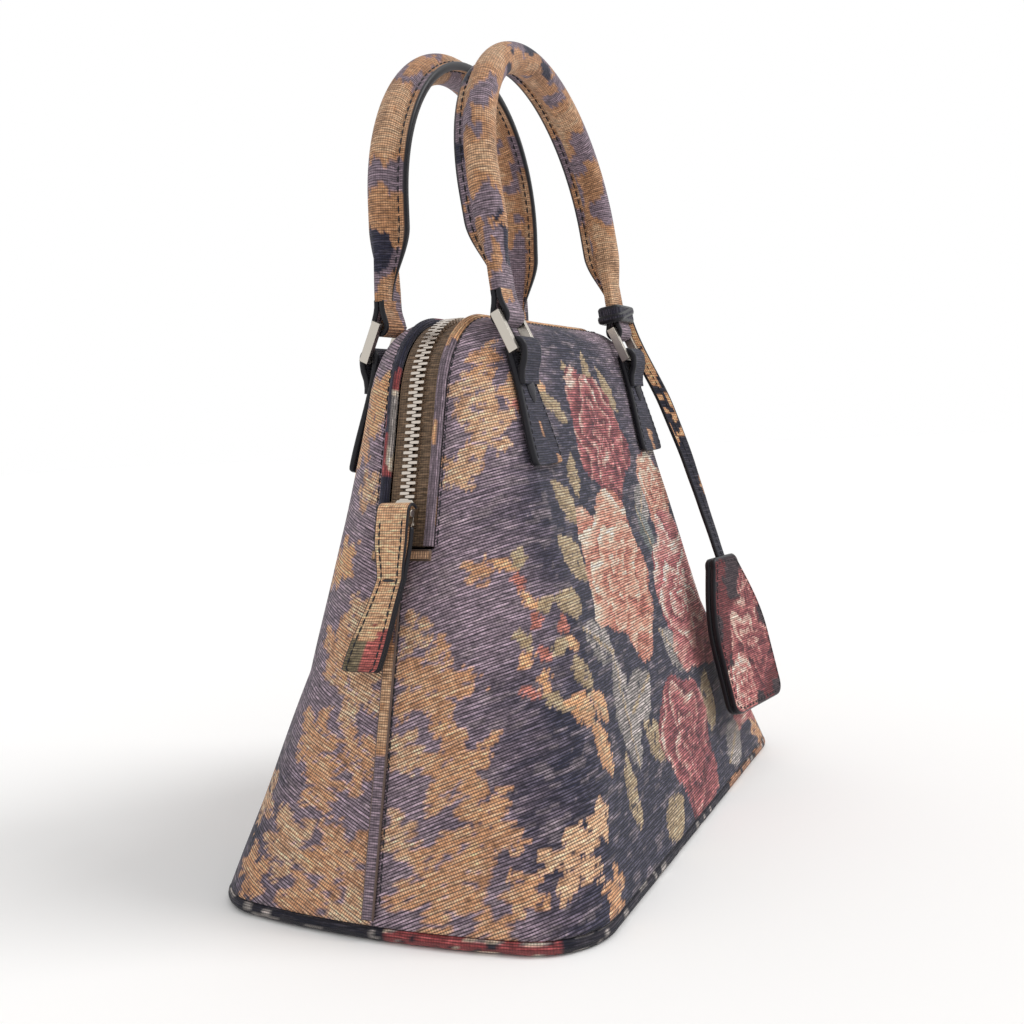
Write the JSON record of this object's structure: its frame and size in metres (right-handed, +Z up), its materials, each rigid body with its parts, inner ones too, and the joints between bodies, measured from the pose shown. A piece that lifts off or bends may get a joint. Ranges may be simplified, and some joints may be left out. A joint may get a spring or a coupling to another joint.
{
  "type": "tapestry handbag",
  "caption": "Dome-shaped tapestry handbag with rolled handles on rectangular rings, a metal zip over the top with a strap puller, and a hanging tag.",
  "frame": {"origin": "middle of the base, on the surface the bag stands on", "axes": "+X along the bag's length away from the slider's end, -Y out of the front face with the tag, +Z up"},
  "size_m": [0.2988, 0.173, 0.3416],
  "materials": {
    "tapestry": "ribbed weave, matt",
    "gold_cloth": "ribbed weave, matt",
    "rose_cloth": "ribbed weave, matt",
    "piping": "ribbed weave, matt",
    "black_edge": "painted edge, satin",
    "nickel": "satin nickel",
    "zip_tape": "herringbone tape, matt",
    "board": "plain board"
  },
  "bodies": {
    "bag": {"front_panel": "tapestry", "back_panel": "tapestry", "base_panel": "tapestry", "base_board": "board", "base_piping": "piping", "left_side_welt": "gold_cloth", "right_side_welt": "gold_cloth", "front_zip_piping": "piping", "back_zip_piping": "piping", "left_zip_end": "gold_cloth", "right_zip_end": "gold_cloth", "front_zip_tape": "zip_tape", "back_zip_tape": "zip_tape", "front_zip_teeth": "nickel", "back_zip_teeth": "nickel", "front_left_tab": "gold_cloth", "front_right_tab": "gold_cloth", "back_left_tab": "gold_cloth", "back_right_tab": "gold_cloth", "tab_tongues": "black_edge"},
    "slider": {"zip_slider": "nickel"},
    "pull": {"pull_pin": "nickel", "zip_pull": "gold_cloth"},
    "front_rings": {"front_left_ring": "nickel", "front_right_ring": "nickel"},
    "front_handle": {"front_handle": "gold_cloth", "front_left_strap": "gold_cloth", "front_right_strap": "gold_cloth", "tag_knot": "black_edge"},
    "hang_tag": {"tag_strap": "black_edge", "tag_front_leaf": "rose_cloth", "tag_back_leaf": "rose_cloth"},
    "back_rings": {"back_left_ring": "nickel", "back_right_ring": "nickel"},
    "back_handle": {"back_handle": "gold_cloth", "back_left_strap": "gold_cloth", "back_right_strap": "gold_cloth"}
  },
  "joints": [
    {"name": "zip_slide", "type": "slide", "parent": "bag", "child": "slider", "axis": [0.2807, 0, 0.9598], "range_m": [0, 0.04]},
    {"name": "pull_swing", "type": "hinge", "parent": "slider", "child": "pull", "pos_m": [-0.11402, 0, 0.1464], "axis": [0, 1, 0], "range_deg": [0, 150]},
    {"name": "front_ring_swing", "type": "hinge", "parent": "bag", "child": "front_rings", "pos_m": [0, -0.03255, 0.206], "axis": [1, 0, 0], "range_deg": [0, 65]},
    {"name": "front_handle_swing", "type": "hinge", "parent": "front_rings", "child": "front_handle", "pos_m": [0, -0.02663, 0.21869], "axis": [1, 0, 0], "range_deg": [0, 65]},
    {"name": "tag_swing", "type": "hinge", "parent": "front_handle", "child": "hang_tag", "pos_m": [0.0805, -0.025, 0.227], "axis": [1, 0, 0], "range_deg": [-130, 0]},
    {"name": "back_ring_swing", "type": "hinge", "parent": "bag", "child": "back_rings", "pos_m": [0, 0.03255, 0.206], "axis": [-1, 0, 0], "range_deg": [0, 65]},
    {"name": "back_handle_swing", "type": "hinge", "parent": "back_rings", "child": "back_handle", "pos_m": [0, 0.02663, 0.21869], "axis": [-1, 0, 0], "range_deg": [0, 65]}
  ],
  "couplings": [
    {"joint": "front_handle_swing", "follows": "front_ring_swing", "ratio": 1},
    {"joint": "tag_swing", "follows": "front_ring_swing", "ratio": -2},
    {"joint": "back_handle_swing", "follows": "back_ring_swing", "ratio": 1}
  ]
}
